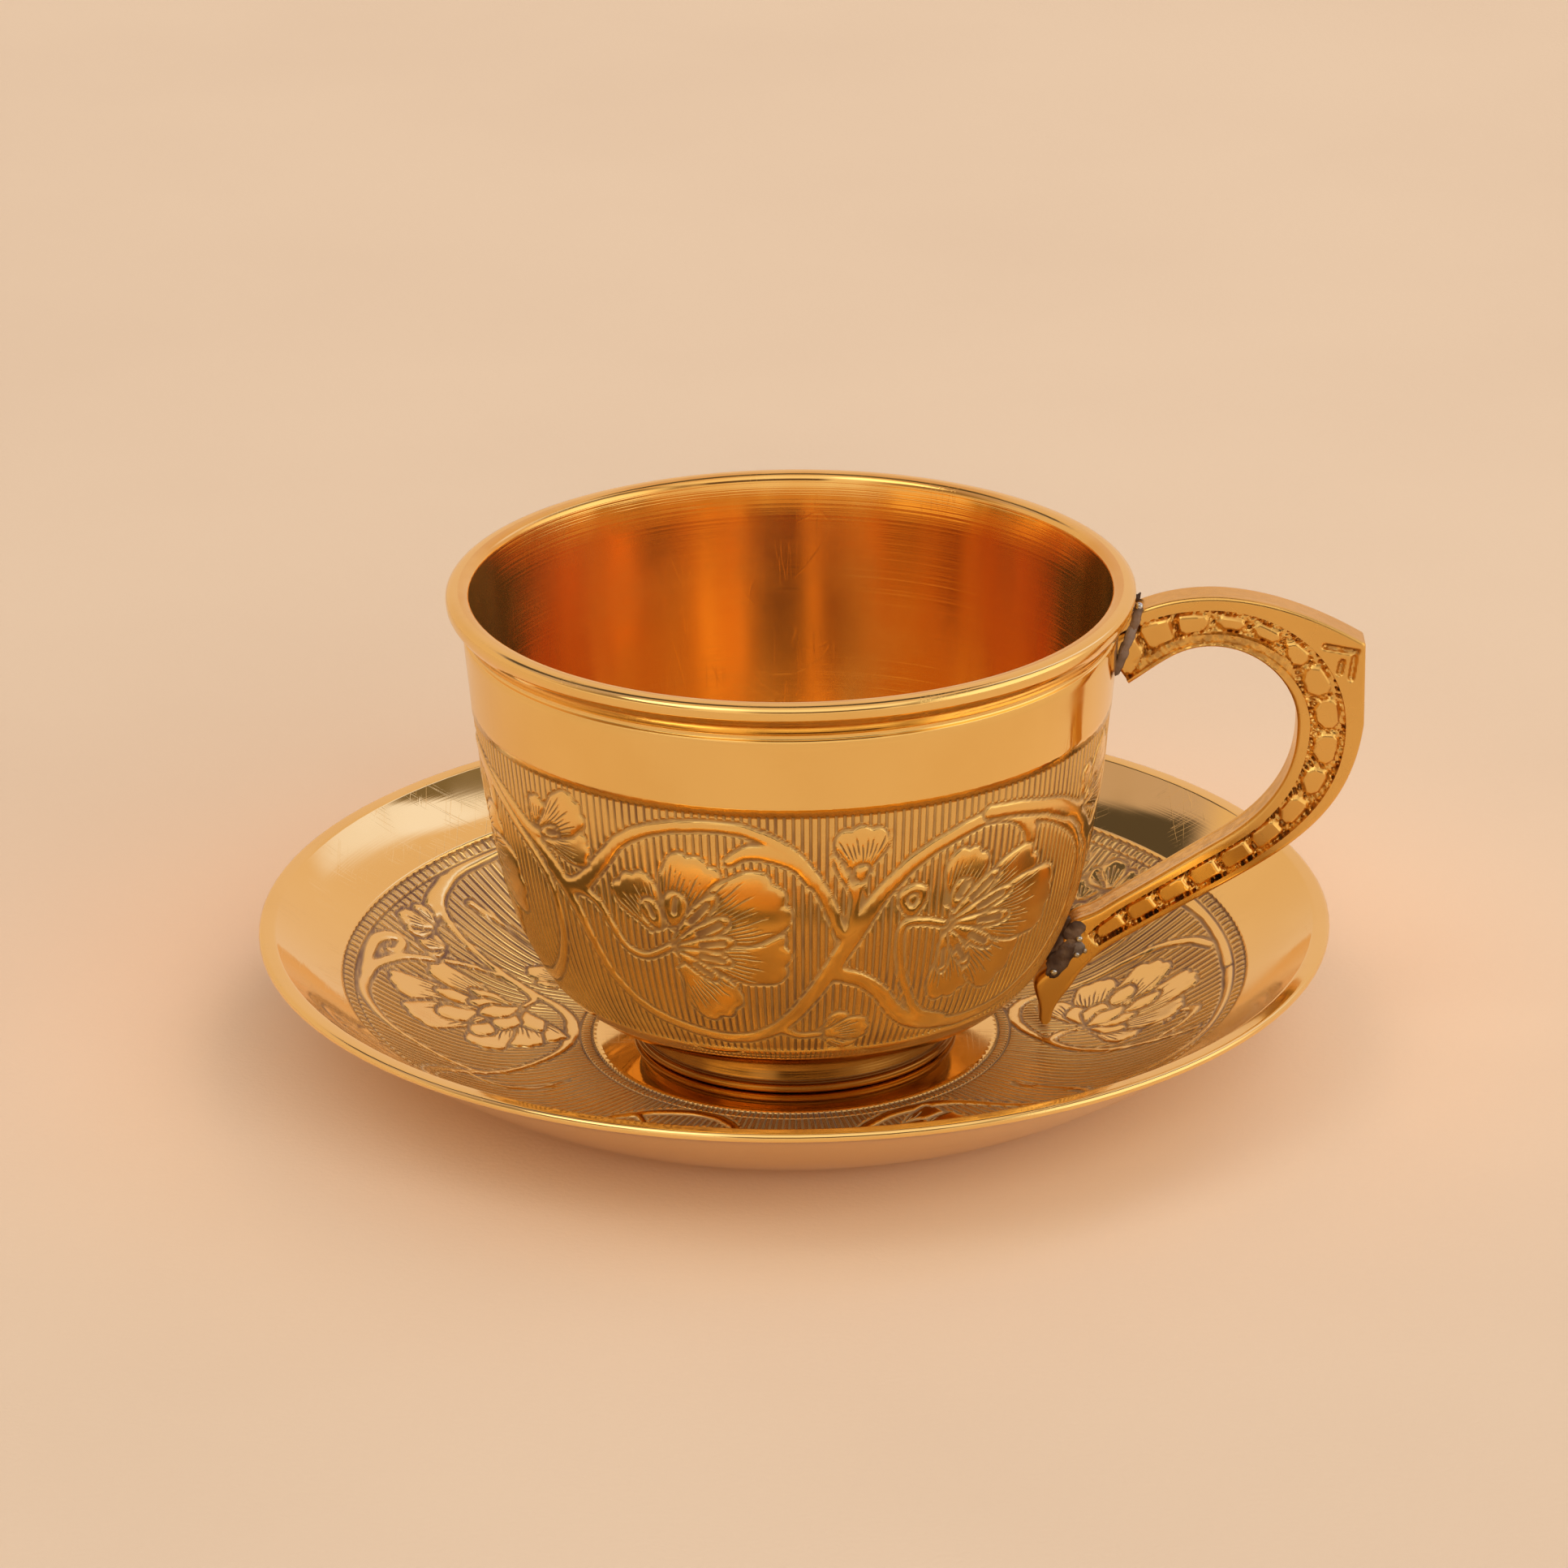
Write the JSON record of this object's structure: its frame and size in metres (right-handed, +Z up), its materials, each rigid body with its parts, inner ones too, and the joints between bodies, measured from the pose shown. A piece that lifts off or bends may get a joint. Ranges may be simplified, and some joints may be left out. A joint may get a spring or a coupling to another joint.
{
  "type": "cup and saucer",
  "caption": "Footed brass tea cup with a flared lip, an engraved floral band and a cast, beaded side handle, standing on a dished brass saucer with an engraved ring.",
  "frame": {"origin": "centre of the saucer's flat base, on the surface that it stands on", "axes": "+Z up along the common axis of cup and saucer, +X towards the handle"},
  "size_m": [0.1337, 0.13, 0.0597],
  "materials": {
    "polished_brass": "polished, with an engraved and lightly darkened floral ground",
    "turned_brass": "turned on a lathe and polished",
    "cast_brass": "cast, buffed on the raised edges, darker in the hollows",
    "braze": "braze left as it flowed, dark and rough with brighter beads"
  },
  "bodies": {
    "saucer": {"saucer": "polished_brass"},
    "cup": {"cup_bowl": "polished_brass", "foot_ring": "turned_brass", "foot_braze": "braze", "handle": "cast_brass", "upper_braze": "braze", "lower_braze": "braze"}
  },
  "joints": [
    {"name": "cup_lift", "type": "slide", "parent": "saucer", "child": "cup", "axis": [0, 0, 1], "range_m": [0, 0.06]}
  ]
}
